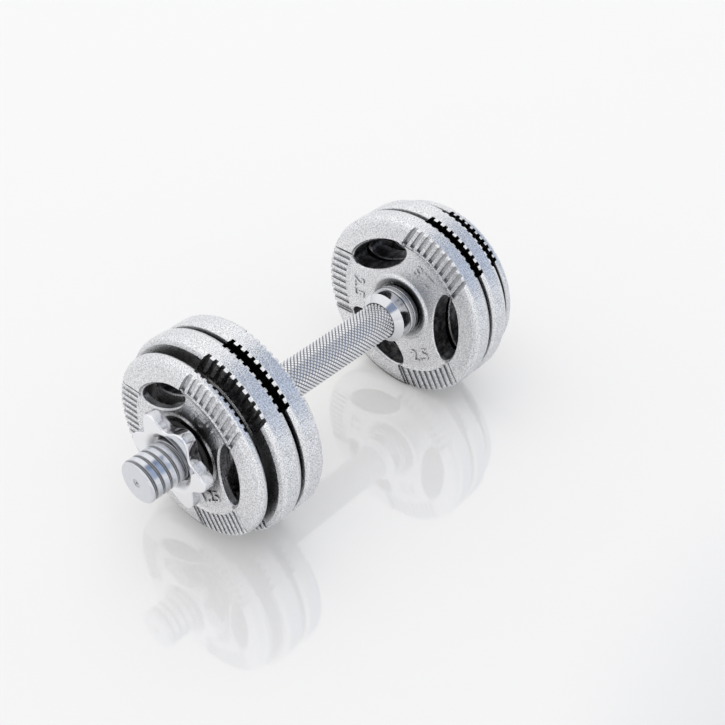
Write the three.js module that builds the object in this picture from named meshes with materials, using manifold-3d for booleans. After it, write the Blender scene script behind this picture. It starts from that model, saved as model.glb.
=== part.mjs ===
// Adjustable dumbbell: a knurled bar with threaded ends, pressed-on collars, six loading
// plates, rubber seals and two star nuts.
// Millimetres, +Z up. The bar lies along X. The origin is on the floor under its middle.
import * as THREE from 'three';
import { mergeVertices } from 'three/addons/utils/BufferGeometryUtils.js';
import Module from 'manifold-3d';

const wasm = await Module();
wasm.setup();

// ---- driving dimensions -------------------------------------------------------------
const GAP = 0.3;                    // clearance between faces that touch on the real thing

const BAR_LENGTH = 350;
const BAR_SIDES = 12;
const GRIP_RADIUS = 14;
const SHANK_RADIUS = 15.4;          // crest of the thread
const END_CHAMFER = 1.2;

const THREAD_PITCH = 6;
const THREAD_DEPTH = 1.2;
const GROOVE_WIDTH = 2.4;           // at the crest; the groove is a V
const THREAD_START = 84;            // distance from the middle of the bar
const THREAD_OVERRUN = 4;           // how far the cutter runs past the bar's end

const COLLAR = { start: 57.2, shoulder: 62.4, end: 70.2, radius: 19.8, lipRadius: 14.9 };
const COLLAR_LIP = 1.9;             // length of the lip that stops against the bar's step
const STOP_RING = { start: 71.2, end: 79.7, radius: 19.8, chamfer: 0.8 };

const PLATE_SIDES = 32;
const PLATE_BORE = 16.0;
const PLATE_TURN = THREE.MathUtils.degToRad(-2);   // the holes sit a little off the vertical
// Distances along the axis are measured outwards from the middle of the hub. A pad's depth is
// how far the serrated pad lies below the rim.
const BIG_FACE = {
  hub: 9.85,
  hubRadius: 24.5,
  hubFoot: 25.3,
  web: 8.25,
  rim: 9.85,
  faceRadius: 70,
  shoulderDrop: 1.8,
  shoulderRadius: 72,
  crest: 4.5,
  padDepth: 2.4,
};
const SMALL_FRONT = {
  hub: 7,
  hubRadius: 24.5,
  hubFoot: 25.3,
  web: 5.7,
  rim: 7,
  faceRadius: 62.6,
  shoulderDrop: 2.4,
  shoulderRadius: 66,
  crest: 3.4,
  padDepth: 1.4,
};
// The small plate's rim and web are thinner than its hub, which stands proud at the back.
const SMALL_BACK = {
  hub: 7,
  hubRadius: 27,
  hubFoot: 32,
  web: 0.9,
  rim: 1.4,
  faceRadius: 65.4,
  shoulderDrop: 1,
  shoulderRadius: 66.4,
  crest: -0.4,
  padDepth: 0.9,
};
const BIG_PLATE = {
  radius: 73,
  rimInner: 56,
  front: BIG_FACE,
  back: BIG_FACE,
  hole: { radius: 43.3, halfLength: 29, halfWidth: 11.6 },
  pad: { halfWidth: 27.7, inner: 55 },
};
const SMALL_PLATE = {
  radius: 67,
  rimInner: 50,
  front: SMALL_FRONT,
  back: SMALL_BACK,
  hole: { radius: 38.6, halfLength: 25.6, halfWidth: 9.4 },
  pad: { halfWidth: 24.7, inner: 49 },
};
const PAD_ARC_STEPS = 4;
const HOLE_SIDES = 16;
const HOLES = 3;

const RING_SIDES = 20;              // collars, stop rings, seals and nut flanges
const SEAL = { thickness: 3.4, innerRadius: 16.2, outerRadius: 22.5 };
const NUT = {
  bore: 15.8,
  flangeRadius: 21.5,
  flangeLength: 3.2,
  starThickness: 8.6,
  tipRadius: 34.7,
  valleyRadius: 25.4,
  lobes: 6,
};
const POINTS_PER_LOBE = 8;

// ---- where each piece starts, counted outwards from the middle of the bar --------------
const INNER_PLATE_START = STOP_RING.end + GAP;
const OUTER_PLATE_START = INNER_PLATE_START + 2 * BIG_FACE.hub + GAP;
const SMALL_PLATE_START = OUTER_PLATE_START + 2 * BIG_FACE.hub + GAP;
const SEAL_START = SMALL_PLATE_START + SMALL_BACK.hub + SMALL_FRONT.hub + GAP;
const NUT_START = SEAL_START + SEAL.thickness + GAP;

const AXIS_HEIGHT = BIG_PLATE.radius;   // the big plates stand on the floor

// ---- materials ----------------------------------------------------------------------
const finish = (color, roughness, metalness) => () => (
  new THREE.MeshStandardMaterial({ color, roughness, metalness })
);
const polishedChrome = finish(0xd3d5da, 0.16, 1);
const knurledSteel = finish(0xc3c5cb, 0.34, 1);
const grainedChrome = finish(0xcfd2d9, 0.4, 0.9);
const blackRubber = finish(0x1b1b1d, 0.85, 0);

// ---- solids --------------------------------------------------------------------------
function toSolid(geometry) {
  const bare = geometry.clone();
  bare.deleteAttribute('normal');
  bare.deleteAttribute('uv');
  const merged = mergeVertices(bare, 1e-4);
  const mesh = new wasm.Mesh({
    numProp: 3,
    vertProperties: new Float32Array(merged.attributes.position.array),
    triVerts: new Uint32Array(merged.index.array),
  });
  return new wasm.Manifold(mesh);
}

function toGeometry(solid) {
  const mesh = solid.getMesh();
  const geometry = new THREE.BufferGeometry();
  geometry.setAttribute('position', new THREE.BufferAttribute(mesh.vertProperties, 3));
  geometry.setIndex(new THREE.BufferAttribute(mesh.triVerts, 1));
  geometry.computeVertexNormals();
  return geometry;
}

function subtractAll(geometry, cutters) {
  return toGeometry(cutters.reduce((solid, cutter) => solid.subtract(toSolid(cutter)), toSolid(geometry)));
}

// Turns a profile of [distance along X, radius] points about the X axis. The outer side of
// the profile runs towards +X. A facet, not a corner, faces straight down.
function turned(profile, sides) {
  const points = profile.map(([along, radius]) => new THREE.Vector2(radius, along));
  const geometry = new THREE.LatheGeometry(points, sides, Math.PI / sides);
  return geometry.rotateZ(-Math.PI / 2);
}

// A turned ring whose facets touch the true circles, so its bore is never undersize.
function ring(profile, sides) {
  const stretch = 1 / Math.cos(Math.PI / sides);
  const corners = profile.map(([along, radius]) => [along, radius * stretch]);
  return turned([...corners, corners[0]], sides);
}

function roundBar(radius, startX, endX) {
  const corner = radius / Math.cos(Math.PI / RING_SIDES);
  return turned([[startX, 0], [startX, corner], [endX, corner], [endX, 0]], RING_SIDES);
}

// Extrudes a shape drawn in the YZ plane (shape x = +Y, shape y = +Z) from startX to endX.
function extrudeAlongX(shape, startX, endX, curveSegments = 12) {
  const options = { depth: endX - startX, bevelEnabled: false, curveSegments };
  const geometry = new THREE.ExtrudeGeometry(shape, options);
  const basis = new THREE.Matrix4().makeBasis(
    new THREE.Vector3(0, 1, 0),
    new THREE.Vector3(0, 0, 1),
    new THREE.Vector3(1, 0, 0),
  );
  return geometry.applyMatrix4(basis).translate(startX, 0, 0);
}

// ---- the bar -------------------------------------------------------------------------
// A helix about X whose section keeps one axis pointing straight out from the bar.
class HelixCurve extends THREE.Curve {
  constructor(radius, pitch, startX, endX) {
    super();
    Object.assign(this, { radius, pitch, startX, endX });
  }

  angleAt(t) {
    return (t * (this.endX - this.startX) / this.pitch) * 2 * Math.PI;
  }

  getPoint(t, target = new THREE.Vector3()) {
    const angle = this.angleAt(t);
    const x = THREE.MathUtils.lerp(this.startX, this.endX, t);
    return target.set(x, this.radius * Math.cos(angle), this.radius * Math.sin(angle));
  }

  getPointAt(t, target) {
    return this.getPoint(t, target);
  }

  computeFrenetFrames(segments) {
    const frames = { tangents: [], normals: [], binormals: [] };
    const slope = this.pitch / (2 * Math.PI);
    for (let i = 0; i <= segments; i += 1) {
      const angle = this.angleAt(i / segments);
      const outward = new THREE.Vector3(0, Math.cos(angle), Math.sin(angle));
      const ahead = Math.sign(this.endX - this.startX);
      const tangent = new THREE.Vector3(slope, -this.radius * Math.sin(angle), this.radius * Math.cos(angle));
      tangent.multiplyScalar(ahead).normalize();
      frames.tangents.push(tangent);
      frames.normals.push(outward);
      frames.binormals.push(new THREE.Vector3().crossVectors(tangent, outward));
    }
    return frames;
  }
}

function threadGroove(startX, endX) {
  const helix = new HelixCurve(SHANK_RADIUS, THREAD_PITCH, startX, endX);
  const turns = Math.abs(endX - startX) / THREAD_PITCH;
  const proud = 0.6;                // the cutter's top stands clear of the crest
  const halfTop = (GROOVE_WIDTH / 2) * (1 + proud / THREAD_DEPTH);
  const section = new THREE.Shape([
    new THREE.Vector2(-THREAD_DEPTH, 0),
    new THREE.Vector2(proud, -halfTop),
    new THREE.Vector2(proud, halfTop),
  ]);
  return new THREE.ExtrudeGeometry(section, { steps: Math.round(turns * BAR_SIDES), extrudePath: helix });
}

function makeBar() {
  const end = BAR_LENGTH / 2;
  const step = COLLAR.start + COLLAR_LIP + GAP;
  const half = [
    [step, GRIP_RADIUS],
    [step, SHANK_RADIUS],
    [end - END_CHAMFER, SHANK_RADIUS],
    [end, SHANK_RADIUS - END_CHAMFER],
    [end, 0],
  ];
  const mirrored = half.map(([along, radius]) => [-along, radius]).reverse();
  const blank = turned([...mirrored, ...half], BAR_SIDES);
  const grooves = [
    threadGroove(THREAD_START, end + THREAD_OVERRUN),
    threadGroove(-end - THREAD_OVERRUN, -THREAD_START),
  ];
  return subtractAll(blank, grooves);
}

// ---- pieces of one side, built for the +X side --------------------------------------------
function makeCollar() {
  const { start, shoulder, end, radius, lipRadius } = COLLAR;
  const lipEnd = start + COLLAR_LIP;
  return ring([
    [start, lipRadius],
    [shoulder, radius],
    [end, radius],
    [end, SHANK_RADIUS + GAP],
    [lipEnd, SHANK_RADIUS + GAP],
    [lipEnd, GRIP_RADIUS + GAP],
    [start, GRIP_RADIUS + GAP],
  ], RING_SIDES);
}

function makeStopRing() {
  const { start, end, radius, chamfer } = STOP_RING;
  return ring([
    [start, radius - chamfer],
    [start + chamfer, radius],
    [end - chamfer, radius],
    [end, radius - chamfer],
    [end, SHANK_RADIUS + GAP],
    [start, SHANK_RADIUS + GAP],
  ], RING_SIDES);
}

function ovalHole(hole, angle, reach) {
  const oval = new THREE.Shape().absellipse(
    hole.radius * Math.cos(angle), hole.radius * Math.sin(angle),
    hole.halfWidth, hole.halfLength, 0, 2 * Math.PI, false, angle,
  );
  return extrudeAlongX(oval, -reach, reach, HOLE_SIDES);
}

// A pad across the rim, cut into one face. Its sides are straight and its inner end is an arc.
function rimPad(plate, face, angle, side) {
  const { halfWidth, inner } = plate.pad;
  const outer = plate.radius + 2;
  const floor = side * (face.rim - face.padDepth);
  const above = side * (face.hub + 1);
  const half = Math.asin(halfWidth / inner);
  const outline = new THREE.Shape();
  outline.moveTo(outer, -halfWidth);
  outline.lineTo(outer, halfWidth);
  outline.absarc(0, 0, inner, half, -half, true);
  const pad = extrudeAlongX(outline, Math.min(floor, above), Math.max(floor, above), PAD_ARC_STEPS);
  return pad.rotateX(angle);
}

// One side of a plate's section, from the crest of the rim round to the bore.
function faceProfile(plate, face) {
  const step = Math.abs(face.rim - face.web);
  return [
    [face.crest, plate.radius],
    [face.rim - face.shoulderDrop, face.shoulderRadius],
    [face.rim, face.faceRadius],
    [face.rim, plate.rimInner],
    [face.web, plate.rimInner - step],
    [face.web, face.hubFoot],
    [face.hub, face.hubRadius],
    [face.hub, PLATE_BORE],
  ];
}

// The front of a plate faces +X.
function makePlate(plate) {
  const front = faceProfile(plate, plate.front);
  const back = faceProfile(plate, plate.back).map(([along, radius]) => [-along, radius]).reverse();
  const blank = ring([...front, ...back], PLATE_SIDES);
  const reach = plate.front.hub + 1;
  const cutters = [];
  for (let i = 0; i < HOLES; i += 1) {
    const turn = PLATE_TURN + (i * 2 * Math.PI) / HOLES;
    cutters.push(ovalHole(plate.hole, turn + Math.PI / HOLES, reach));
    cutters.push(rimPad(plate, plate.front, turn, 1));
    cutters.push(rimPad(plate, plate.back, turn, -1));
  }
  return subtractAll(blank, cutters);
}

function makeSeal() {
  const { thickness, innerRadius, outerRadius } = SEAL;
  return ring([
    [0, outerRadius],
    [thickness, outerRadius],
    [thickness, innerRadius],
    [0, innerRadius],
  ], RING_SIDES);
}

// Six rounded lobes with broad hollows between them.
function starOutline() {
  const mid = (NUT.tipRadius + NUT.valleyRadius) / 2;
  const swing = (NUT.tipRadius - NUT.valleyRadius) / 2;
  const count = NUT.lobes * POINTS_PER_LOBE;
  const points = [];
  for (let i = 0; i < count; i += 1) {
    const angle = (i * 2 * Math.PI) / count;
    const radius = mid + swing * Math.cos(NUT.lobes * angle);
    points.push(new THREE.Vector2(radius * Math.cos(angle), radius * Math.sin(angle)));
  }
  return new THREE.Shape(points);
}

function makeNut() {
  const starStart = NUT.flangeLength;
  const starEnd = starStart + NUT.starThickness;
  const star = extrudeAlongX(starOutline(), starStart, starEnd);
  const flange = roundBar(NUT.flangeRadius, 0, starStart + 1);
  const bore = roundBar(NUT.bore, -1, starEnd + 1);
  return toGeometry(toSolid(star).add(toSolid(flange)).subtract(toSolid(bore)));
}

// ---- assembly ------------------------------------------------------------------------
// Mirrors a geometry through the YZ plane and turns its triangles so they still face out.
function mirroredInX(geometry) {
  const flipped = geometry.index ? geometry.clone() : mergeVertices(geometry.clone());
  flipped.scale(-1, 1, 1);
  const index = flipped.index.array;
  for (let i = 0; i < index.length; i += 3) {
    [index[i], index[i + 1]] = [index[i + 1], index[i]];
  }
  return flipped;
}

const dumbbell = new THREE.Group();
dumbbell.position.z = AXIS_HEIGHT;

function place(name, geometry, material, x = 0) {
  const mesh = new THREE.Mesh(geometry, material);
  mesh.name = name;
  mesh.position.x = x;
  dumbbell.add(mesh);
}

const innerPlateX = INNER_PLATE_START + BIG_FACE.hub;
const outerPlateX = OUTER_PLATE_START + BIG_FACE.hub;
const smallPlateX = SMALL_PLATE_START + SMALL_BACK.hub;
const sidePieces = [
  { name: 'collar', geometry: makeCollar(), material: polishedChrome, x: 0 },
  { name: 'stop_ring', geometry: makeStopRing(), material: polishedChrome, x: 0 },
  { name: 'inner_plate', geometry: makePlate(BIG_PLATE), material: grainedChrome, x: innerPlateX },
  { name: 'outer_plate', geometry: makePlate(BIG_PLATE), material: grainedChrome, x: outerPlateX },
  { name: 'small_plate', geometry: makePlate(SMALL_PLATE), material: grainedChrome, x: smallPlateX },
  { name: 'nut_seal', geometry: makeSeal(), material: blackRubber, x: SEAL_START },
  { name: 'star_nut', geometry: makeNut(), material: polishedChrome, x: NUT_START },
];

place('bar', makeBar(), knurledSteel());
for (const piece of sidePieces) {
  place(`${piece.name}_right`, piece.geometry, piece.material(), piece.x);
  place(`${piece.name}_left`, mirroredInX(piece.geometry), piece.material(), -piece.x);
}

export default dumbbell;
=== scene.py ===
import math

import bmesh
import bpy
from mathutils import Matrix, Vector


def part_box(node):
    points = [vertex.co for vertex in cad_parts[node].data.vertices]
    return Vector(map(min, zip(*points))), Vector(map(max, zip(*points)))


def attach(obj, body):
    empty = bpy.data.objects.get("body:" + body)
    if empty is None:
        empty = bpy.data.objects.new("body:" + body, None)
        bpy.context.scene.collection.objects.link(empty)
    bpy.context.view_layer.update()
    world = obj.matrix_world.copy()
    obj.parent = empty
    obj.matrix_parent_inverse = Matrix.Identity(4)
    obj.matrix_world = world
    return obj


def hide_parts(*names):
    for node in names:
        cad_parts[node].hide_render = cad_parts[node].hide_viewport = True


# Looks of an adjustable dumbbell. Shapes are drawn in millimetres around the bar's axis, which
# runs along X, and make_piece() turns them into metres and puts them where the frame says.
MM = 0.001

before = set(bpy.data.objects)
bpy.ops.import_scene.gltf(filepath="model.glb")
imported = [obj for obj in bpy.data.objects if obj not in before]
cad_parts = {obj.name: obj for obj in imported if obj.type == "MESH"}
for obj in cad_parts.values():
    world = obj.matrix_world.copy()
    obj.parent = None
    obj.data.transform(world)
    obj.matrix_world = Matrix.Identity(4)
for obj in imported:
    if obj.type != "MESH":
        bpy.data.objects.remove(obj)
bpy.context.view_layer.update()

AXIS_HEIGHT = (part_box("bar")[0].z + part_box("bar")[1].z) / 2
BAR_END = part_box("bar")[1].x / MM

# ---- driving dimensions, millimetres --------------------------------------------------------
GRIP_RADIUS = 14.0
SHANK_RADIUS = 15.4
STEP = 59.4                     # where the grip steps up to the shank, inside the collar
KNURLS_AROUND = 25
KNURL_PITCH = 3.28
KNURL_DEPTH = 0.55
KNURL_FLAT = 0.45               # share of each diamond that is its flat top

THREAD_PITCH = 6.0
THREAD_START = 84.0
THREAD_PHASE = -154.3           # a groove crosses here ...
THREAD_PHASE_TURN = 128 / 360   # ... this far round from +Y
THREAD_STEPS = 72               # per turn
THREAD_OVERRUN = 5.0            # how far the cutter runs past the bar's end
THREAD_SECTION = [              # (x, radius) across a groove: a rounded V, flared at the crest
    (-1.75, 16.2), (-1.3, 15.42), (-1.1, 15.2), (-0.5, 14.35), (0.0, 14.15),
    (0.5, 14.35), (1.1, 15.2), (1.3, 15.42), (1.75, 16.2),
]
END_PROFILE = [                 # (x from the bar's end, radius): chamfer, face, centre mark
    (-1.4, 15.4), (-0.9, 15.25), (-0.2, 14.4), (0.0, 14.0), (0.0, 3.1), (-0.35, 2.8),
    (-0.35, 1.9), (-0.15, 1.6), (-0.15, 1.1), (-1.3, 0.3),
]

# Sections of the turned pieces, as (x, radius, fillet) corners.
COLLAR = [
    (57.2, 14.35, 0), (57.2, 14.9, 0.25), (62.4, 19.8, 0.35), (70.2, 19.8, 0.4),
    (70.2, 15.8, 0), (59.2, 15.8, 0), (59.2, 14.35, 0),
]
STOP_RING = [                   # two bands with a shallow groove between them
    (71.2, 15.8, 0), (71.2, 19.1, 0.2), (72.0, 19.8, 0.3), (74.6, 19.8, 0.15),
    (74.9, 19.5, 0.15), (75.5, 19.5, 0.15), (75.8, 19.8, 0.15), (78.9, 19.8, 0.3),
    (79.7, 19.1, 0.2), (79.7, 15.8, 0),
]
SEAL = [(0.0, 16.2, 0.4), (0.0, 22.5, 0.9), (3.4, 22.5, 0.9), (3.4, 16.2, 0.4)]

TURNED_STEPS = 160              # round a turned piece
PLATE_STEPS = 192               # round a plate
CLEAR = 3.0                     # how far a cutter runs past the surface it cuts
ZONE_TURN = math.radians(-2)    # the serrated zones start a little below +Y
ZONES = 3
GROOVES = 10

# A face is described outwards along the axis from the middle of the hub.
BIG_FACE = dict(
    hub=9.85, rim=9.2, face=68.8, shoulder=(8.1, 71.7), crest=5.2, web=8.1, foot=27.0,
    pad_depth=2.0, groove=2.0, tag=True,
)
SMALL_FRONT = dict(
    hub=7.0, rim=7.0, face=62.0, shoulder=(5.6, 65.6), crest=3.5, web=5.7, foot=27.0,
    pad_depth=1.4, groove=1.5, tag=True,
)
SMALL_BACK = dict(
    hub=7.0, rim=1.4, face=65.2, shoulder=(0.9, 66.3), crest=-0.4, web=0.9, foot=32.5,
    pad_depth=0.9, groove=1.8, tag=False,
)
BIG = dict(
    front=BIG_FACE, back=BIG_FACE, radius=73.0, bore=16.0, rim_inner=56.2, web_outer=51.5,
    oval=dict(radius=43.3, half_length=28.8, half_width=11.5),
    pitch=5.85, pad_start=55.0, tag="2.5", tag_radius=41.7, tag_height=10.0,
)
SMALL = dict(
    front=SMALL_FRONT, back=SMALL_BACK, radius=67.0, bore=16.0, rim_inner=50.2, web_outer=46.0,
    oval=dict(radius=38.6, half_length=25.4, half_width=9.3),
    pitch=5.2, pad_start=49.0, tag="1.25", tag_radius=36.0, tag_height=8.4,
)
GROOVE_WIDTH = 2.8
EDGE_ROUND = 0.4                # on the ribs between the grooves
PAD_FILLET = 0.5
PAD_DRAFT = 0.8                 # how far the pad's inner wall leans in
HUB_RADIUS = 25.0
HUB_CONE = 20.6                 # the cone inside the hub's lip reaches in to here
HUB_CONE_DEPTH = 1.0
BORE_CHAMFER = 0.7
HOLE_LIP = 1.1                  # rounding of the grip holes' edges
HOLE_STEPS = 72
TAG_RISE = 0.9
TAG_BOLD = 0.12                 # how much the strokes are thickened
TAG_SPACING = 1.08
FONT_SIZE_PER_HEIGHT = 1.42     # of the figures

NUT = dict(
    length=11.8, flange=3.2, flange_radius=21.5, flange_bore=15.0, bore=15.8,
    tip=34.7, valley=25.4, lobes=6, front_round=1.0, back_round=0.6,
    dish=[                      # (x from the front face, radius)
        (1.0, 23.5), (0.0, 22.8), (-0.35, 21.6), (-1.0, 20.3), (-2.0, 19.0),
        (-3.2, 17.9), (-4.0, 16.9), (-4.4, 15.8),
    ],
)
NUT_STEPS = 240

# ---- camera and light, metres and degrees -----------------------------------------------------
CAMERA = dict(
    azimuth=-50.06, elevation=38.91, roll=2.08, distance=0.84785,
    target=(0.03973, 0.0, -0.02974), lens=55.92,    # the target is measured from the bar's axis
)
LIGHT_TARGET = (0.0, 0.0, 0.05)
WALLS = [   # direction, half angle, softness and colour of the panels the metal reflects
    ((0.60, -0.20, 0.77), 20, 12, (0.24, 0.31, 0.45)),
    ((0.60, -0.60, 0.52), 24, 14, (0.42, 0.51, 0.68)),
    ((-0.80, -0.20, 0.57), 16, 8, (0.30, 0.36, 0.50)),
]
SKY = [     # height of the direction from 0 at the horizon to 1 overhead, and colour
    (0.0, (0.80, 0.81, 0.83)), (0.12, (0.98, 0.985, 1.0)), (0.5, (1.12, 1.12, 1.12)),
    (1.0, (1.12, 1.12, 1.12)),
]
BACKDROP = (0.9, 0.9, 0.9)      # what the camera itself sees past the floor

# Sockets of a colour mix node.
MIX_FIRST, MIX_SECOND, MIX_RESULT = 6, 7, 2


# ---- mesh building ----------------------------------------------------------------------------
def filleted(corners, steps=5):
    """A closed outline of (x, radius) points, with each (x, radius, fillet) corner rounded off."""
    points = []
    for i, (x, y, fillet) in enumerate(corners):
        here = Vector((x, y))
        before = (Vector(corners[i - 1][:2]) - here).normalized()
        after = (Vector(corners[(i + 1) % len(corners)][:2]) - here).normalized()
        spread = before.angle(after)
        if fillet == 0 or spread > math.radians(178):
            points.append(here)
            continue
        reach = fillet / math.tan(spread / 2)
        centre = here + (before + after).normalized() * (fillet / math.sin(spread / 2))
        first = here + before * reach - centre
        last = here + after * reach - centre
        turn = first.angle_signed(last)
        for k in range(steps + 1):
            points.append(centre + Matrix.Rotation(-turn * k / steps, 2) @ first)
    return points


def loft(rings, loop=False):
    """A bmesh skin over rings of points, closed at the ends or looped back to the first ring."""
    mesh = bmesh.new()
    rows = [[mesh.verts.new(p) for p in ring] for ring in rings]
    count = len(rows[0])
    pairs = list(zip(rows, rows[1:]))
    if loop:
        pairs.append((rows[-1], rows[0]))
    for low, high in pairs:
        for i in range(count):
            j = (i + 1) % count
            mesh.faces.new((low[i], low[j], high[j], high[i]))
    if not loop:
        mesh.faces.new(rows[0])
        mesh.faces.new(rows[-1])
    bmesh.ops.recalc_face_normals(mesh, faces=mesh.faces)
    return mesh


def turned(corners, steps=TURNED_STEPS):
    """A ring turned about the X axis from a closed outline of (x, radius, fillet) corners."""
    outline = filleted(corners)
    rings = []
    for i in range(steps):
        angle = 2 * math.pi * i / steps
        rings.append([(p.x, p.y * math.cos(angle), p.y * math.sin(angle)) for p in outline])
    return loft(rings, loop=True)


def turned_solid(outline, steps=TURNED_STEPS):
    """A solid turned about the X axis from (x, radius) points that run from end to end."""
    rings = []
    for x, radius in outline:
        angles = (2 * math.pi * i / steps for i in range(steps))
        rings.append([(x, radius * math.cos(a), radius * math.sin(a)) for a in angles])
    return loft(rings)


def box_bmesh(low, high):
    mesh = bmesh.new()
    bmesh.ops.create_cube(mesh, size=1)
    size = Vector(high) - Vector(low)
    middle = (Vector(high) + Vector(low)) / 2
    mesh.transform(Matrix.Translation(middle) @ Matrix.Diagonal((*size, 1)))
    return mesh


def joined(meshes):
    """One bmesh holding several that don't touch. The originals are freed."""
    whole = bmesh.new()
    for part in meshes:
        data = bpy.data.meshes.new("part")
        part.to_mesh(data)
        part.free()
        whole.from_mesh(data)
        bpy.data.meshes.remove(data)
    return whole


def combined(first, *steps):
    """Applies ("DIFFERENCE" | "UNION" | "INTERSECT", bmesh) steps in turn to the first bmesh."""
    work = bpy.data.objects.new("work", bpy.data.meshes.new("work"))
    bpy.context.scene.collection.objects.link(work)
    first.to_mesh(work.data)
    first.free()
    for operation, other in steps:
        tool = bpy.data.objects.new("tool", bpy.data.meshes.new("tool"))
        bpy.context.scene.collection.objects.link(tool)
        other.to_mesh(tool.data)
        other.free()
        cut = work.modifiers.new("cut", "BOOLEAN")
        cut.operation = operation
        cut.object = tool
        cut.solver = "MANIFOLD"
        bpy.context.view_layer.update()
        graph = bpy.context.evaluated_depsgraph_get()
        result = bpy.data.meshes.new_from_object(work.evaluated_get(graph))
        work.modifiers.clear()
        old = work.data
        work.data = result
        bpy.data.meshes.remove(old)
        bpy.data.objects.remove(tool)
    mesh = bmesh.new()
    mesh.from_mesh(work.data)
    bpy.data.objects.remove(work)
    return mesh


def make_mesh(name, shape, crease=32):
    """The finished mesh data in metres: smooth, with edges sharper than crease degrees kept."""
    shape.transform(Matrix.Scale(MM, 4))
    data = bpy.data.meshes.new(name)
    shape.to_mesh(data)
    shape.free()
    data.shade_smooth()
    data.set_sharp_from_angle(angle=math.radians(crease))
    return data


UPRIGHT = Matrix.Identity(3)
TURNED_ROUND = Matrix.Rotation(math.pi, 3, "Z")
# Turned over about the middle of a zone, so that the zones and holes stay where they are.
ZONE_MIDDLE = Vector((0, math.cos(ZONE_TURN), math.sin(ZONE_TURN)))
TURNED_OVER = Matrix.Rotation(math.pi, 3, ZONE_MIDDLE)


def make_piece(name, data, body, node, x=0.0, turn=UPRIGHT):
    """Puts a mesh on the bar's axis at x metres, riding on a body in place of a CAD node."""
    if turn != UPRIGHT:
        # the mesh is turned, not the object, so that its box is its true size
        data = data.copy()
        data.transform(turn.to_4x4())
    piece = bpy.data.objects.new(name, data)
    bpy.context.scene.collection.objects.link(piece)
    piece.location = (x, 0, AXIS_HEIGHT)
    normals = piece.modifiers.new("normals", "WEIGHTED_NORMAL")
    normals.keep_sharp = True
    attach(piece, body)
    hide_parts(node)
    return piece


# ---- materials ------------------------------------------------------------------------------
class Shader:
    """A node material with a Principled surface and short calls to add nodes to it."""

    def __init__(self, name, color, metallic, roughness):
        self.material = bpy.data.materials.new(name)
        self.material.use_nodes = True
        self.tree = self.material.node_tree
        self.surface = self.tree.nodes["Principled BSDF"]
        self.surface.inputs["Base Color"].default_value = (*color, 1)
        self.surface.inputs["Metallic"].default_value = metallic
        self.surface.inputs["Roughness"].default_value = roughness
        self.bump_from = None
        coordinates = self.add("ShaderNodeTexCoord")
        self.place = coordinates.outputs["Object"]

    def add(self, kind, settings=None, **inputs):
        node = self.tree.nodes.new(kind)
        for key, value in (settings or {}).items():
            setattr(node, key, value)
        for key, value in inputs.items():
            self.feed(node.inputs[key.replace("_", " ")], value)
        return node

    def feed(self, socket, value):
        if isinstance(value, bpy.types.NodeSocket):
            self.tree.links.new(value, socket)
        else:
            socket.default_value = value

    def noise(self, size_mm, detail=2.0, rough=0.5):
        made = self.add("ShaderNodeTexNoise", Vector=self.place)
        made.inputs["Scale"].default_value = 1 / (size_mm * MM)
        made.inputs["Detail"].default_value = detail
        made.inputs["Roughness"].default_value = rough
        return made.outputs["Fac"]

    def remap(self, value, low, high, to_low, to_high):
        made = self.add("ShaderNodeMapRange", {"clamp": True}, Value=value)
        made.inputs["From Min"].default_value = low
        made.inputs["From Max"].default_value = high
        made.inputs["To Min"].default_value = to_low
        made.inputs["To Max"].default_value = to_high
        return made.outputs["Result"]

    def math(self, operation, first, second):
        made = self.add("ShaderNodeMath", {"operation": operation})
        self.feed(made.inputs[0], first)
        self.feed(made.inputs[1], second)
        return made.outputs[0]

    def bump(self, height, distance_mm, strength=1.0):
        made = self.add("ShaderNodeBump", Height=height)
        made.inputs["Strength"].default_value = strength
        made.inputs["Distance"].default_value = distance_mm * MM
        if self.bump_from:
            self.feed(made.inputs["Normal"], self.bump_from)
        self.bump_from = made.outputs["Normal"]
        self.feed(self.surface.inputs["Normal"], self.bump_from)

    def tint(self, factor, dark, light):
        """Base colour between two colours by a 0 to 1 factor."""
        made = self.add("ShaderNodeMix", {"data_type": "RGBA"})
        self.feed(made.inputs["Factor"], factor)
        made.inputs[MIX_FIRST].default_value = (*dark, 1)
        made.inputs[MIX_SECOND].default_value = (*light, 1)
        self.feed(self.surface.inputs["Base Color"], made.outputs[MIX_RESULT])

    def shelter(self, reach_mm, local=False):
        """How open the surface is: 0 deep in a crevice, 1 out in the open."""
        settings = {"samples": 6, "only_local": local}
        made = self.add("ShaderNodeAmbientOcclusion", settings)
        made.inputs["Distance"].default_value = reach_mm * MM
        return made.outputs["AO"]

    def rough_between(self, factor, low, high):
        self.feed(self.surface.inputs["Roughness"], self.remap(factor, 0, 1, low, high))


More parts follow.
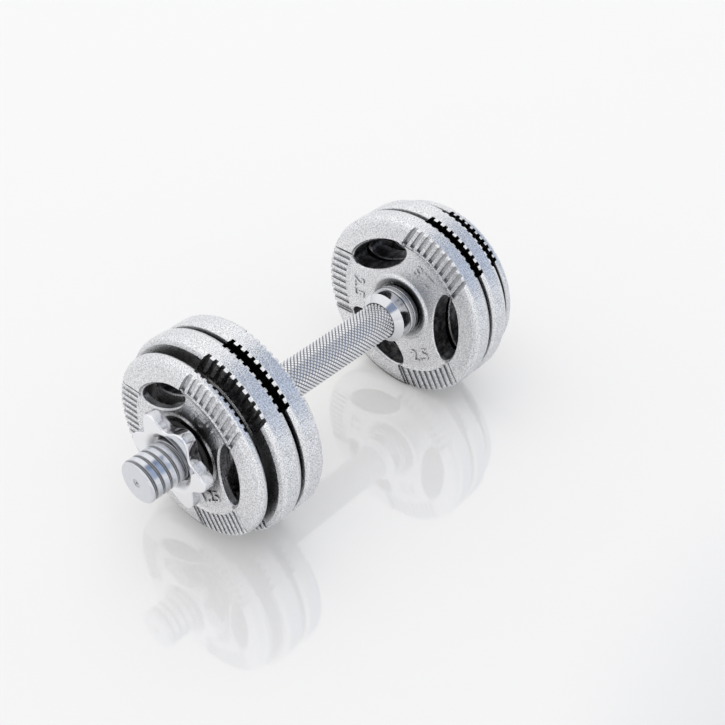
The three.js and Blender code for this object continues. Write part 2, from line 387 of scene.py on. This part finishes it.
def plate_chrome():
    """Silver over a sand casting: a fine pebbled skin, with painted shade that turns it black
    where a neighbouring plate covers it and darker in its own cuts and hollows.
    """
    shader = Shader("plate_casting", (0.8, 0.81, 0.84), 1.0, 0.3)
    pebble = shader.noise(1.5, 2, 0.55)
    grit = shader.noise(0.75, 1, 0.5)
    broad = shader.noise(14, 2, 0.5)
    alone = shader.shelter(8, local=True)
    among_others = shader.shelter(18)
    covered = shader.math("DIVIDE", among_others, shader.math("MAXIMUM", alone, 0.05))
    # painted shade: black where a neighbouring plate covers the face
    uncovered = shader.remap(covered, 0.42, 0.8, 0, 1)
    # painted shade: a milder darkening in the plate's own cuts, deeper in the grip holes
    own_cuts = shader.remap(alone, 0.12, 0.62, 0.22, 1)
    hollows = shader.remap(shader.shelter(40), 0.45, 0.9, 0.8, 1)
    own_cuts = shader.math("MULTIPLY", own_cuts, hollows)
    # the speckle is the casting's own random tone
    speckle = shader.remap(grit, 0.36, 0.6, 0.54, 1.0)
    painted_shade_and_speckle = shader.math("MULTIPLY", shader.math("MULTIPLY", uncovered, own_cuts), speckle)
    # the dark colour is the painted shade, the light colour the silver
    shader.tint(painted_shade_and_speckle, (0.028, 0.028, 0.031), (0.93, 0.935, 0.955))
    shader.rough_between(shader.math("MULTIPLY", broad, pebble), 0.22, 0.5)
    shader.bump(pebble, 0.16, 0.9)
    shader.bump(grit, 0.2, 1.0)
    return shader.material


def shaded_hole_wall():
    """The dark, rough inside of the grip holes: painted shade with a mottled, gritty skin."""
    shader = Shader("shaded_hole_wall", (0.05, 0.05, 0.052), 0.9, 0.45)
    mottle = shader.noise(5, 4, 0.65)
    grit = shader.noise(0.9, 2, 0.6)
    light = shader.math("MULTIPLY", shader.remap(mottle, 0.42, 0.66, 0.12, 1), grit)
    # painted shade: near black, lifted a little by the mottle and grit
    shader.tint(light, (0.012, 0.012, 0.013), (0.5, 0.5, 0.52))
    shader.rough_between(mottle, 0.3, 0.6)
    shader.bump(mottle, 0.6, 0.8)
    shader.bump(grit, 0.25, 1.0)
    return shader.material


def turned_chrome():
    """Bright chrome with the faint rings that a lathe leaves, and painted shade where other parts
    close in on it.
    """
    shader = Shader("turned_chrome", (0.86, 0.87, 0.89), 1.0, 0.1)
    # painted shade: the base colour goes dark where ambient occlusion finds parts close by
    open_side = shader.remap(shader.shelter(26), 0.55, 0.92, 0, 1)
    shader.tint(open_side, (0.085, 0.09, 0.1), (0.73, 0.74, 0.765))
    smear = shader.noise(9, 3, 0.6)
    shader.rough_between(smear, 0.05, 0.2)
    rings = shader.add("ShaderNodeTexWave", {"wave_type": "BANDS", "bands_direction": "X"})
    shader.feed(rings.inputs["Vector"], shader.place)
    rings.inputs["Scale"].default_value = 500
    rings.inputs["Distortion"].default_value = 0.6
    shader.bump(rings.outputs["Fac"], 0.006, 0.5)
    shader.bump(shader.noise(0.8, 2, 0.5), 0.01, 0.5)
    return shader.material


def nut_chrome():
    """Satin chrome over a smooth casting, with painted shade where parts close in on it."""
    shader = Shader("nut_chrome", (0.88, 0.89, 0.91), 1.0, 0.1)
    # painted shade: dark base colour where ambient occlusion finds the plates and lobes close by
    open_side = shader.remap(shader.shelter(16), 0.18, 0.6, 0, 1)
    shader.tint(open_side, (0.04, 0.04, 0.048), (0.84, 0.845, 0.87))
    shader.rough_between(shader.noise(6, 3, 0.6), 0.05, 0.16)
    shader.bump(shader.noise(2.2, 2, 0.5), 0.03, 0.5)
    return shader.material


def knurled_steel():
    """Chromed steel, with painted shade darkening the cuts of the knurl and its tops left light.
    """
    shader = Shader("knurled_steel", (0.78, 0.79, 0.82), 1.0, 0.25)
    height = shader.add("ShaderNodeAttribute", {"attribute_name": "cut_depth"})
    cut = shader.remap(height.outputs["Fac"], 0.1, 0.95, 0, 1)
    # painted shade: light on the knurl's tops, dark at the bottom of its cuts
    shader.tint(cut, (0.86, 0.865, 0.885), (0.16, 0.165, 0.19))
    shader.rough_between(shader.noise(3, 2, 0.5), 0.16, 0.34)
    shader.bump(shader.noise(0.3, 2, 0.5), 0.02, 0.5)
    return shader.material


def threaded_steel():
    """Turned and plated steel, with painted shade dark at the bottom of the thread."""
    shader = Shader("threaded_steel", (0.8, 0.81, 0.84), 1.0, 0.16)
    # painted shade: ambient occlusion darkens the roots of the thread
    root_shade = shader.remap(shader.shelter(3), 0.6, 0.95, 0, 1)
    streak = shader.remap(shader.noise(2.5, 3, 0.6), 0.35, 0.65, 0.93, 1)
    shader.tint(shader.math("MULTIPLY", root_shade, streak), (0.03, 0.03, 0.035), (0.70, 0.715, 0.755))
    shader.rough_between(shader.noise(5, 3, 0.6), 0.08, 0.2)
    shader.bump(shader.noise(0.7, 2, 0.5), 0.015, 0.5)
    return shader.material


def seal_rubber():
    """Black moulded rubber with a dusty, slightly uneven skin."""
    shader = Shader("seal_rubber", (0.02, 0.02, 0.022), 0.0, 0.7)
    dust = shader.noise(4, 4, 0.6)
    shader.tint(dust, (0.012, 0.012, 0.013), (0.04, 0.04, 0.042))
    shader.rough_between(dust, 0.55, 0.85)
    shader.bump(shader.noise(0.6, 3, 0.6), 0.05, 0.6)
    return shader.material


# ---- the bar ----------------------------------------------------------------------------------
def knurled_rod(end):
    """The grip as raised diamonds between two crossing families of grooves."""
    rows = 2 * round(end / KNURL_PITCH)
    valley = GRIP_RADIUS - KNURL_DEPTH
    mesh = bmesh.new()
    step = 2 * math.pi / KNURLS_AROUND

    def point(row, column, radius):
        x = (row - rows / 2) * KNURL_PITCH
        return Vector((x, radius * math.cos(column * step), radius * math.sin(column * step)))

    crossings = []
    for row in range(2 * rows + 1):
        shift = 0.5 * (row % 2)
        ring = [mesh.verts.new(point(row / 2, i + shift, valley)) for i in range(KNURLS_AROUND)]
        crossings.append(ring)

    def crossing(row, column2):
        """The groove crossing at a row, by half columns."""
        return crossings[row][((column2 - row % 2) // 2) % KNURLS_AROUND]

    for row in range(1, 2 * rows):
        for i in range(KNURLS_AROUND):
            column2 = 2 * i + (row + 1) % 2
            corners = [
                crossing(row - 1, column2), crossing(row, column2 + 1),
                crossing(row + 1, column2), crossing(row, column2 - 1),
            ]
            half = KNURL_FLAT
            column = column2 / 2
            tops = [
                mesh.verts.new(point(row / 2 - half / 2, column, GRIP_RADIUS)),
                mesh.verts.new(point(row / 2, column + half / 2, GRIP_RADIUS)),
                mesh.verts.new(point(row / 2 + half / 2, column, GRIP_RADIUS)),
                mesh.verts.new(point(row / 2, column - half / 2, GRIP_RADIUS)),
            ]
            mesh.faces.new(tops)
            for k in range(4):
                m = (k + 1) % 4
                mesh.faces.new((corners[k], corners[m], tops[m], tops[k]))
    for row, inner in ((0, 1), (2 * rows, 2 * rows - 1)):
        for i in range(KNURLS_AROUND):
            column2 = 2 * i + row % 2
            edge = (crossing(row, column2), crossing(row, column2 + 2))
            mesh.faces.new((*edge, crossing(inner, column2 + 1)))
        mesh.faces.new(crossings[row])
    bmesh.ops.recalc_face_normals(mesh, faces=mesh.faces)
    return mesh


def thread_groove(start, end):
    """The closed cutter of a right-hand thread from x = start to x = end."""
    first = math.floor((start - THREAD_PHASE) / THREAD_PITCH * THREAD_STEPS)
    last = math.ceil((end - THREAD_PHASE) / THREAD_PITCH * THREAD_STEPS)
    rings = []
    for i in range(first, last + 1):
        angle = 2 * math.pi * (i / THREAD_STEPS + THREAD_PHASE_TURN)
        x = THREAD_PHASE + i * THREAD_PITCH / THREAD_STEPS
        y, z = math.cos(angle), math.sin(angle)
        rings.append([(x + dx, radius * y, radius * z) for dx, radius in THREAD_SECTION])
    return loft(rings)


def make_bar():
    """Grip, stepped shanks and both threads as one solid with a turned finish at the ends."""
    half = [(STEP, SHANK_RADIUS)] + [(BAR_END + x, radius) for x, radius in END_PROFILE]
    thread_end = BAR_END + THREAD_OVERRUN
    shanks = []
    for side in (1, -1):
        outline = [(side * x, radius) for x, radius in half]
        groove = (
            thread_groove(THREAD_START, thread_end) if side > 0
            else thread_groove(-thread_end, -THREAD_START)
        )
        shanks.append(combined(turned_solid(outline), ("DIFFERENCE", groove)))
    grip = knurled_rod(STEP + KNURL_PITCH)
    return combined(grip, ("UNION", shanks[0]), ("UNION", shanks[1]))


# ---- plates -----------------------------------------------------------------------------------
def face_outline(plate, face):
    """Half of a plate's section as (x, radius, fillet) corners, from the rim round to the bore."""
    hub_depth = face["hub"] - HUB_CONE_DEPTH
    shoulder_x, shoulder_radius = face["shoulder"]
    return [
        (face["crest"], plate["radius"], 3.0),              # crown of the rim
        (shoulder_x, shoulder_radius, 1.2),
        (face["rim"], face["face"], 0.7),                   # flat of the rim
        (face["rim"], plate["rim_inner"], 5),
        (face["web"], plate["web_outer"], 8),               # dished web
        (face["web"], face["foot"], 2.5),
        (face["hub"], HUB_RADIUS + 0.4, 0.35),              # narrow lip of the hub
        (face["hub"], HUB_RADIUS - 0.6, 0.3),
        (hub_depth, HUB_CONE, 0.6),                         # cone inside the lip
        (hub_depth, plate["bore"] + BORE_CHAMFER, 0.4),
        (hub_depth - BORE_CHAMFER, plate["bore"], 0),
    ]


def plate_blank(plate):
    """The turned casting: crowned rim, rounded edges, dished web, coned hub."""
    front = face_outline(plate, plate["front"])
    back = [(-x, r, fillet) for x, r, fillet in reversed(face_outline(plate, plate["back"]))]
    return turned(front + back, PLATE_STEPS)


def pad_cutter(plate, face, side):
    """The turned ring that lowers the rim where it is serrated, before it is cut to width."""
    outside = plate["radius"] + CLEAR
    floor = face["rim"] - face["pad_depth"]
    above = face["hub"] + 2
    corners = [
        (floor, plate["pad_start"], PAD_FILLET), (floor, outside, 0),
        (above, outside, 0), (above, plate["pad_start"] - PAD_DRAFT, 0),
    ]
    return turned([(side * x, r, fillet) for x, r, fillet in corners], PLATE_STEPS)


def zone_slabs(plate, side, width):
    """Boxes that cover the serrated zones on one face, with room to spare all but sideways."""
    near, far = sorted((-2 * side, 20 * side))
    inner, outer = plate["pad_start"] - 12, plate["radius"] + 6
    slabs = []
    for i in range(ZONES):
        slab = box_bmesh((near, inner, -width / 2), (far, outer, width / 2))
        slab.transform(Matrix.Rotation(ZONE_TURN + i * 2 * math.pi / ZONES, 4, "X"))
        slabs.append(slab)
    return joined(slabs)


def groove_cutter(plate, face, across, side):
    """One groove of a zone at +Y: a channel with rounded shoulders, open at the rim."""
    pad = face["rim"] - face["pad_depth"]
    bottom = pad - face["groove"]
    w = GROOVE_WIDTH / 2
    r = EDGE_ROUND
    section = [(bottom, w - r), (bottom + r * 0.6, w)]      # half of the channel, as (x, z)
    for k in range(4):
        angle = math.pi / 2 * k / 3
        section.append((pad - r + r * math.sin(angle), w + r * (1 - math.cos(angle))))
    section.append((pad + CLEAR, w + r))
    outline = [(x, across + y) for x, y in section]
    outline += [(x, across - y) for x, y in reversed(section)]
    inner = math.sqrt((plate["pad_start"] + 0.6) ** 2 - across ** 2)
    outer = plate["radius"] + 4
    rings = [[(side * x, along, y) for x, y in outline] for along in (inner, outer)]
    return loft(rings)


def oval_cutter(plate, turn):
    """An elliptical hole with rounded lips on both faces."""
    oval = plate["oval"]
    layers = []
    for face, side in ((plate["front"], 1), (plate["back"], -1)):
        web = face["web"]
        rows = [(side * (web + CLEAR), HOLE_LIP + 1.4)]
        for k in range(5):
            angle = math.pi / 2 * k / 4
            grow = HOLE_LIP * (1 - math.sin(angle))
            rows.append((side * (web - HOLE_LIP * math.sin(angle)), grow))
        layers += rows if side > 0 else reversed(rows)
    rings = []
    for x, grow in layers:
        ring = []
        for i in range(HOLE_STEPS):
            t = 2 * math.pi * i / HOLE_STEPS
            y = oval["radius"] + (oval["half_width"] + grow) * math.cos(t)
            ring.append((x, y, (oval["half_length"] + grow) * math.sin(t)))
        rings.append(ring)
    mesh = loft(rings)
    mesh.transform(Matrix.Rotation(turn, 4, "X"))
    return mesh


def numeral(plate, face, side):
    """The weight cast on the web at +Y, its top towards the hub, on the face at side."""
    curve = bpy.data.curves.new("numeral", "FONT")
    curve.body = plate["tag"]
    curve.align_x = "CENTER"
    curve.align_y = "CENTER"
    curve.size = plate["tag_height"] * FONT_SIZE_PER_HEIGHT
    curve.space_character = TAG_SPACING
    curve.extrude = TAG_RISE
    curve.offset = TAG_BOLD
    curve.resolution_u = 4
    holder = bpy.data.objects.new("numeral", curve)
    bpy.context.scene.collection.objects.link(holder)
    bpy.context.view_layer.update()
    graph = bpy.context.evaluated_depsgraph_get()
    data = bpy.data.meshes.new_from_object(holder.evaluated_get(graph))
    mesh = bmesh.new()
    mesh.from_mesh(data)
    bmesh.ops.remove_doubles(mesh, verts=mesh.verts, dist=1e-4)
    bpy.data.objects.remove(holder)
    bpy.data.meshes.remove(data)
    # text lies in XY and faces +Z: its up turns to -Y, its front to the plate's side
    across = Vector((0, 0, side))
    up = Vector((0, -1, 0))
    front = Vector((side, 0, 0))
    basis = Matrix((across, up, front)).transposed().to_4x4()
    place = Vector((side * face["web"], plate["tag_radius"], 0))
    mesh.transform(Matrix.Translation(place) @ basis)
    return mesh


def make_plate(plate):
    """A whole plate: the blank, its serrated zones, grip holes and numerals."""
    turns = [ZONE_TURN + i * 2 * math.pi / ZONES for i in range(ZONES)]
    width = GROOVES * plate["pitch"] - (plate["pitch"] - GROOVE_WIDTH)
    faces = ((plate["front"], 1), (plate["back"], -1))
    steps = []
    grooves = []
    tags = []
    for face, side in faces:
        pads = combined(
            pad_cutter(plate, face, side), ("INTERSECT", zone_slabs(plate, side, width)),
        )
        steps.append(("DIFFERENCE", pads))
        for turn in turns:
            rotation = Matrix.Rotation(turn, 4, "X")
            for k in range(GROOVES):
                across = (k - (GROOVES - 1) / 2) * plate["pitch"]
                groove = groove_cutter(plate, face, across, side)
                groove.transform(rotation)
                grooves.append(groove)
            if face["tag"]:
                tag = numeral(plate, face, side)
                tag.transform(rotation)
                tags.append(tag)
    steps.append(("DIFFERENCE", joined(grooves)))
    ovals = [oval_cutter(plate, turn + math.pi / ZONES) for turn in turns]
    steps.append(("DIFFERENCE", joined(ovals)))
    steps.append(("UNION", joined(tags)))
    return combined(plate_blank(plate), *steps)


# ---- star nuts --------------------------------------------------------------------------------
def star_ring(x, inset):
    """The six-lobed outline at x, pulled in by inset all round."""
    middle = (NUT["tip"] + NUT["valley"]) / 2
    swing = (NUT["tip"] - NUT["valley"]) / 2
    ring = []
    for i in range(NUT_STEPS):
        angle = 2 * math.pi * i / NUT_STEPS
        lobe = NUT["lobes"] * angle
        radius = middle + swing * math.cos(lobe)
        slope = -swing * NUT["lobes"] * math.sin(lobe)
        out = Vector((math.cos(angle), math.sin(angle)))
        along = Vector((-math.sin(angle), math.cos(angle)))
        normal = (out * radius - along * slope).normalized()
        point = out * radius - normal * inset
        ring.append((x, point.x, point.y))
    return ring


def make_nut():
    """The star with rounded edges, the flange behind it and the dished, bored front."""
    start, end = NUT["flange"], NUT["length"]
    front, back = NUT["front_round"], NUT["back_round"]
    layers = []
    for k in range(5):
        angle = math.pi / 2 * k / 4
        layers.append((start + back * (1 - math.sin(angle)), back * (1 - math.cos(angle))))
    layers.reverse()
    for k in range(6):
        angle = math.pi / 2 * k / 5
        layers.append((end - front * (1 - math.sin(angle)), front * (1 - math.cos(angle))))
    star = loft([star_ring(x, inset) for x, inset in layers])
    flange = turned([
        (0, NUT["flange_bore"], 0), (0, NUT["flange_radius"], 0.5),
        (start + 1, NUT["flange_radius"], 0), (start + 1, NUT["flange_bore"], 0),
    ])
    dish = turned_solid([(end + x, radius) for x, radius in NUT["dish"]] + [(-1, NUT["bore"])])
    return combined(star, ("UNION", flange), ("DIFFERENCE", dish))


# ---- assembly ---------------------------------------------------------------------------------
def mark_hole_walls(data, plate):
    """Gives the walls of the grip holes their own material, the second one of the mesh, which
    paints shade into the holes.
    """
    oval = plate["oval"]
    deep = min(plate["front"]["web"], plate["back"]["web"]) * MM
    for polygon in data.polygons:
        place = polygon.center
        for i in range(ZONES):
            turn = ZONE_TURN + (2 * i + 1) * math.pi / ZONES
            out = place.y * math.cos(turn) + place.z * math.sin(turn)
            along = place.z * math.cos(turn) - place.y * math.sin(turn)
            reach = math.hypot(
                (out / MM - oval["radius"]) / oval["half_width"], along / MM / oval["half_length"],
            )
            on_wall = reach < 1.02      # 1 on the ellipse itself
            if on_wall and abs(place.x) < deep:
                polygon.material_index = 1


def mark_cuts(data):
    """A 0 to 1 value on each point of the grip: 1 at the bottom of the knurl's cuts, which the
    grip's material paints dark as shade.
    """
    attribute = data.attributes.new("cut_depth", "FLOAT", "POINT")
    for vertex, value in zip(data.vertices, attribute.data):
        radius = math.hypot(vertex.co.y, vertex.co.z) / MM
        on_grip = abs(vertex.co.x) / MM < STEP - 0.1
        depth = (GRIP_RADIUS - radius) / KNURL_DEPTH
        value.value = min(max(depth, 0.0), 1.0) if on_grip else 0.0


bar_mesh = make_mesh("bar", make_bar(), 28)
mark_cuts(bar_mesh)
bar_mesh.materials.append(knurled_steel())
bar_mesh.materials.append(threaded_steel())
for polygon in bar_mesh.polygons:
    polygon.material_index = int(abs(polygon.center.x) / MM > STEP - 0.2)
make_piece("turned_bar", bar_mesh, "handle_bar", "bar")

chrome, casting, satin, rubber = turned_chrome(), plate_chrome(), nut_chrome(), seal_rubber()
collar_mesh = make_mesh("collar", turned(COLLAR))
stop_ring_mesh = make_mesh("stop_ring", turned(STOP_RING))
big_plate_mesh = make_mesh("big_plate", make_plate(BIG))
small_plate_mesh = make_mesh("small_plate", make_plate(SMALL))
seal_mesh = make_mesh("seal", turned(SEAL))
nut_mesh = make_mesh("nut", make_nut())
for mesh, material in (
    (collar_mesh, chrome), (stop_ring_mesh, chrome), (big_plate_mesh, casting),
    (small_plate_mesh, casting), (seal_mesh, rubber), (nut_mesh, satin),
):
    mesh.materials.append(material)
# the grip holes' walls get a near-black material that paints the shade deep in the holes
hole_wall_shade = shaded_hole_wall()
for mesh, plate in ((big_plate_mesh, BIG), (small_plate_mesh, SMALL)):
    mesh.materials.append(hole_wall_shade)
    mark_hole_walls(mesh, plate)

for side, name, turn, plate_turn in (
    (1, "right", UPRIGHT, UPRIGHT), (-1, "left", TURNED_ROUND, TURNED_OVER),
):
    def start_of(node):
        """How far out a node of this side starts, as a signed X."""
        low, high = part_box(f"{node}_{name}")
        return low.x if side > 0 else high.x

    def middle_of(node):
        low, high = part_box(f"{node}_{name}")
        return (low.x + high.x) / 2

    body = "handle_bar"
    make_piece(f"shouldered_collar_{name}", collar_mesh, body, f"collar_{name}",
               turn=turn)
    make_piece(f"grooved_stop_ring_{name}", stop_ring_mesh, body, f"stop_ring_{name}",
               turn=turn)
    for plate, mesh in (("inner_plate", big_plate_mesh), ("outer_plate", big_plate_mesh),
                        ("small_plate", small_plate_mesh)):
        node = f"{plate}_{name}"
        make_piece(f"cast_{node}", mesh, node, node, middle_of(plate), plate_turn)
    make_piece(f"rubber_seal_{name}", seal_mesh, f"seal_{name}", f"nut_seal_{name}",
               start_of("nut_seal"), turn)
    make_piece(f"lobed_nut_{name}", nut_mesh, f"nut_{name}", f"star_nut_{name}",
               start_of("star_nut"), turn)


# ---- floor, light and camera --------------------------------------------------------------------
def make_floor():
    mesh = bmesh.new()
    bmesh.ops.create_grid(mesh, x_segments=8, y_segments=8, size=6.0)
    data = bpy.data.meshes.new("floor")
    mesh.to_mesh(data)
    mesh.free()
    floor = bpy.data.objects.new("studio_floor", data)
    bpy.context.scene.collection.objects.link(floor)
    shader = Shader("studio_floor", (0.55, 0.545, 0.54), 0.0, 0.1)
    shader.surface.inputs["Emission Color"].default_value = (1, 0.992, 0.98, 1)
    shader.surface.inputs["Emission Strength"].default_value = 0.24
    shader.rough_between(shader.noise(60, 3, 0.5), 0.04, 0.07)
    shader.surface.inputs["Specular IOR Level"].default_value = 1.0
    shader.surface.inputs["IOR"].default_value = 1.6
    data.materials.append(shader.material)


def make_world():
    """A white studio with softly edged grey panels, which the curved metal picks up."""
    world = bpy.data.worlds.new("studio")
    world.use_nodes = True
    tree = world.node_tree
    nodes, links = tree.nodes, tree.links
    background = nodes["Background"]
    direction = nodes.new("ShaderNodeTexCoord")
    split = nodes.new("ShaderNodeSeparateXYZ")
    links.new(direction.outputs["Generated"], split.inputs[0])
    ramp = nodes.new("ShaderNodeValToRGB")
    elements = ramp.color_ramp.elements
    while len(elements) < len(SKY):
        elements.new(0.5)
    for element, (place, color) in zip(elements, SKY):
        element.position = place
        element.color = (*color, 1)
    links.new(split.outputs["Z"], ramp.inputs["Fac"])
    lit = ramp.outputs["Color"]
    for towards, half_angle, soft, color in WALLS:
        facing = nodes.new("ShaderNodeVectorMath")
        facing.operation = "DOT_PRODUCT"
        links.new(direction.outputs["Generated"], facing.inputs[0])
        facing.inputs[1].default_value = Vector(towards).normalized()
        cover = nodes.new("ShaderNodeMapRange")
        cover.interpolation_type = "SMOOTHSTEP"
        links.new(facing.outputs["Value"], cover.inputs["Value"])
        cover.inputs["From Min"].default_value = math.cos(math.radians(half_angle + soft / 2))
        cover.inputs["From Max"].default_value = math.cos(math.radians(half_angle - soft / 2))
        panel = nodes.new("ShaderNodeMix")
        panel.data_type = "RGBA"
        links.new(cover.outputs["Result"], panel.inputs["Factor"])
        links.new(lit, panel.inputs[MIX_FIRST])
        panel.inputs[MIX_SECOND].default_value = (*color, 1)
        lit = panel.outputs[MIX_RESULT]
    path = nodes.new("ShaderNodeLightPath")
    seen = nodes.new("ShaderNodeMix")
    seen.data_type = "RGBA"
    links.new(path.outputs["Is Camera Ray"], seen.inputs["Factor"])
    links.new(lit, seen.inputs[MIX_FIRST])
    seen.inputs[MIX_SECOND].default_value = (*BACKDROP, 1)
    links.new(seen.outputs[MIX_RESULT], background.inputs["Color"])
    background.inputs["Strength"].default_value = 1.0
    bpy.context.scene.world = world


def make_light(name, place, size, power):
    """A soft lamp that the metal doesn't mirror."""
    data = bpy.data.lights.new(name, "AREA")
    data.shape = "RECTANGLE"
    data.size, data.size_y = size
    data.energy = power
    light = bpy.data.objects.new(name, data)
    bpy.context.scene.collection.objects.link(light)
    light.location = place
    towards = Vector(LIGHT_TARGET) - Vector(place)
    light.rotation_euler = towards.to_track_quat("-Z", "Y").to_euler()
    light.visible_glossy = False


def make_camera():
    """The camera looks down over the left end of the bar."""
    azimuth, elevation, roll = (
        math.radians(CAMERA[angle]) for angle in ("azimuth", "elevation", "roll")
    )
    target = Vector((0, 0, AXIS_HEIGHT)) + Vector(CAMERA["target"])
    back = Vector((
        math.sin(azimuth) * math.cos(elevation),
        -math.cos(azimuth) * math.cos(elevation),
        math.sin(elevation),
    ))
    data = bpy.data.cameras.new("camera")
    data.sensor_width = 36
    data.lens = CAMERA["lens"]
    data.clip_start = 0.01
    camera = bpy.data.objects.new("camera", data)
    bpy.context.scene.collection.objects.link(camera)
    camera.location = target + back * CAMERA["distance"]
    camera.rotation_mode = "QUATERNION"
    turn = Matrix.Rotation(roll, 3, back)
    camera.rotation_quaternion = (turn @ back.to_track_quat("Z", "Y").to_matrix()).to_quaternion()
    bpy.context.scene.camera = camera


make_floor()
make_world()
make_light("overhead_softbox", (0.1, 0.3, 1.6), (1.8, 1.4), 6)
make_light("left_fill", (-1.3, -0.5, 0.7), (1.0, 0.8), 2)
make_camera()
bpy.context.scene.view_settings.view_transform = "Standard"
